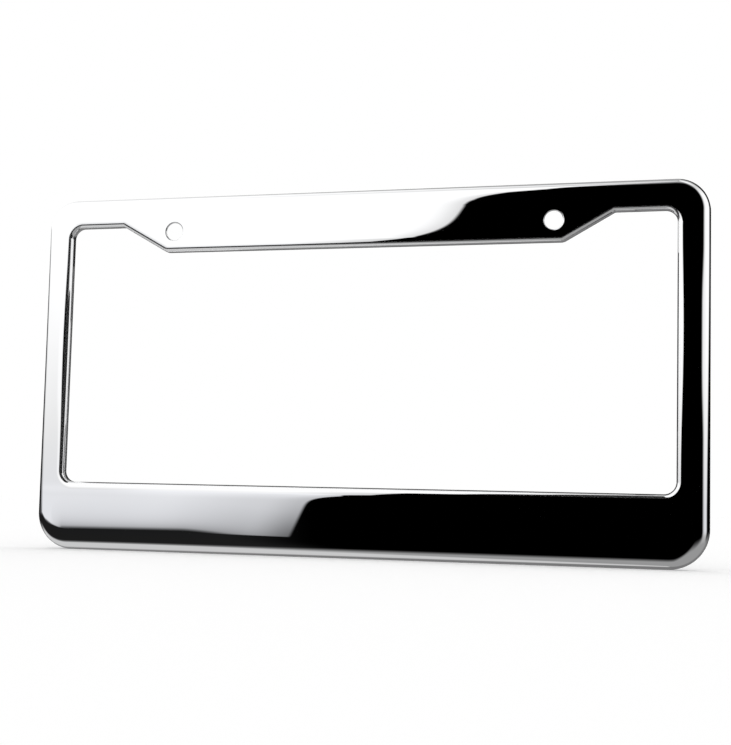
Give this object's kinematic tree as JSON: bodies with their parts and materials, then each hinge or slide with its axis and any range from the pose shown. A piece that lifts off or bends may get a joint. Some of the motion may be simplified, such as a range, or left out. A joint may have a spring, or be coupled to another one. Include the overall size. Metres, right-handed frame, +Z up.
{
  "type": "number plate holder",
  "caption": "Pressed frame of polished sheet metal that goes round a car's number plate, with an edge flange bent back, a lipped window and screw holes in the tab of its top bar.",
  "frame": {"origin": "midway between the two screw holes, on the front of the face", "axes": "+X to the right of the frame as seen from its front, +Y into the depth towards the vehicle, +Z up"},
  "size_m": [0.31, 0.008, 0.1658],
  "materials": {
    "polished_steel": "mirror polished stainless steel on the face, plainer mill finish inside"
  },
  "bodies": {
    "root": {"plate_frame": "polished_steel"}
  },
  "joints": []
}
